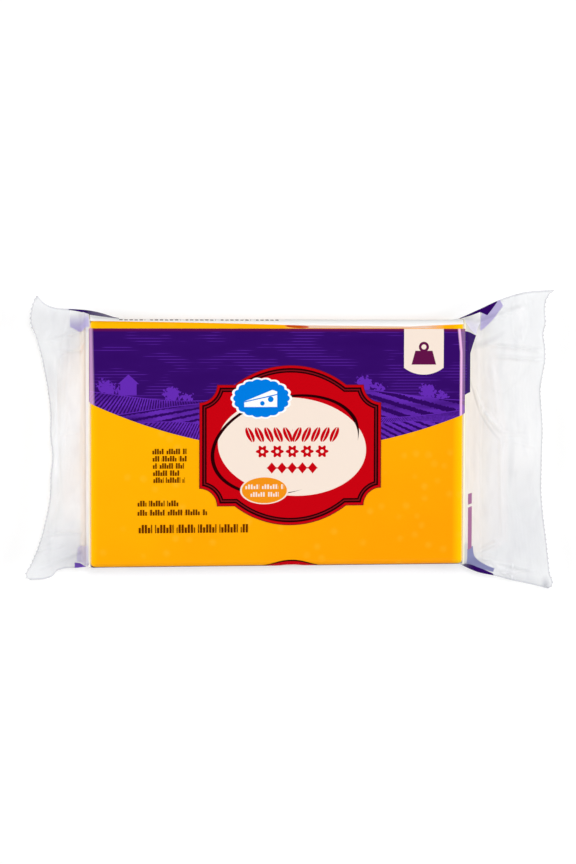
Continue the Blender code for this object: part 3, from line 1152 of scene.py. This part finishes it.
def make_lights():
    for name, place, size, power in SOFTBOXES:
        light = bpy.data.lights.new(name, "AREA")
        light.shape = "RECTANGLE"
        light.size, light.size_y = size
        light.energy = power
        holder = add_object(name, light)
        holder.location = place
        holder.rotation_euler = Vector(place).to_track_quat("Z", "Y").to_euler()
        holder.visible_glossy = name == "fill"
    world = bpy.data.worlds.new("studio")
    world.use_nodes = True
    sky = world.node_tree.nodes["Background"]
    feed_all(world.node_tree, sky, Color=WHITE_LIGHT, Strength=WORLD_LIGHT)
    bpy.context.scene.world = world


def make_camera(stage):
    """Looks at the pack from the yaw and tilt of the settings, turned by the roll."""
    towards = Vector((
        math.sin(stage.yaw) * math.cos(stage.tilt),
        math.sin(stage.tilt),
        math.cos(stage.yaw) * math.cos(stage.tilt),
    ))
    right = Vector((0.0, 1.0, 0.0)).cross(towards).normalized()
    turned = Matrix((right, towards.cross(right), towards)).transposed()
    turned = turned @ Matrix.Rotation(stage.roll, 3, "Z")
    camera = bpy.data.cameras.new("camera")
    camera.lens = stage.lens
    holder = add_object("camera", camera)
    place = turned @ Vector((*stage.aim, stage.distance))
    holder.matrix_world = Matrix.Translation(place) @ turned.to_4x4()
    bpy.context.scene.camera = holder
    bpy.context.scene.view_settings.view_transform = "Standard"


class OBJECT_OT_cheddar_stage(bpy.types.Operator):
    """Make the pale floor, the softboxes and the camera"""

    bl_idname = "object.cheddar_stage"
    bl_label = "Stage"

    def execute(self, context):
        make_camera(context.scene.cheddar_stage)
        make_floor()
        make_lights()
        return {"FINISHED"}


class OBJECT_OT_cheddar_cheese(bpy.types.Operator):
    """Give the block its cheddar finish"""

    bl_idname = "object.cheddar_cheese"
    bl_label = "Cheese"

    def execute(self, context):
        material = cheddar_material(context.scene.cheddar_cheese)
        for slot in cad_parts["cheese_block"].material_slots:
            slot.material = material
        return {"FINISHED"}


class OBJECT_OT_cheddar_film(bpy.types.Operator):
    """Wrap the block in printed clear film with a crimped fin at each end"""

    bl_idname = "object.cheddar_film"
    bl_label = "Film"

    def execute(self, context):
        mesh = make_film_mesh()
        settings = context.scene.cheddar_film
        haze = haze_group(settings)
        for name, painters in FINISHES.items():
            mesh.materials.append(film_material(name, painters, haze, settings))
        film = add_object("film_wrap", mesh)
        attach(film, "root")
        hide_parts("film_end_left", "film_end_right")
        return {"FINISHED"}


class VIEW3D_PT_cheddar(bpy.types.Panel):
    """Lists the steps that dress the cheddar block"""

    bl_idname = "VIEW3D_PT_cheddar"
    bl_label = "Cheddar block"
    bl_space_type = "VIEW_3D"
    bl_region_type = "UI"
    bl_category = "Cheddar"

    def draw(self, context):
        for operator, settings in STEPS:
            self.layout.operator(operator.bl_idname)
            for name in settings[1].__annotations__:
                self.layout.prop(getattr(context.scene, settings[0]), name)


STEPS = (
    (OBJECT_OT_cheddar_stage, ("cheddar_stage", CheddarStageSettings)),
    (OBJECT_OT_cheddar_cheese, ("cheddar_cheese", CheddarCheeseSettings)),
    (OBJECT_OT_cheddar_film, ("cheddar_film", CheddarFilmSettings)),
)


def register():
    for operator, (name, settings) in STEPS:
        bpy.utils.register_class(settings)
        setattr(bpy.types.Scene, name, bpy.props.PointerProperty(type=settings))
        bpy.utils.register_class(operator)
    bpy.utils.register_class(VIEW3D_PT_cheddar)


def unregister():
    bpy.utils.unregister_class(VIEW3D_PT_cheddar)
    for operator, (name, settings) in reversed(STEPS):
        bpy.utils.unregister_class(operator)
        delattr(bpy.types.Scene, name)
        bpy.utils.unregister_class(settings)


def main():
    register()
    bpy.ops.object.cheddar_stage()
    bpy.ops.object.cheddar_cheese()
    bpy.ops.object.cheddar_film()


if __name__ == "__main__":
    main()
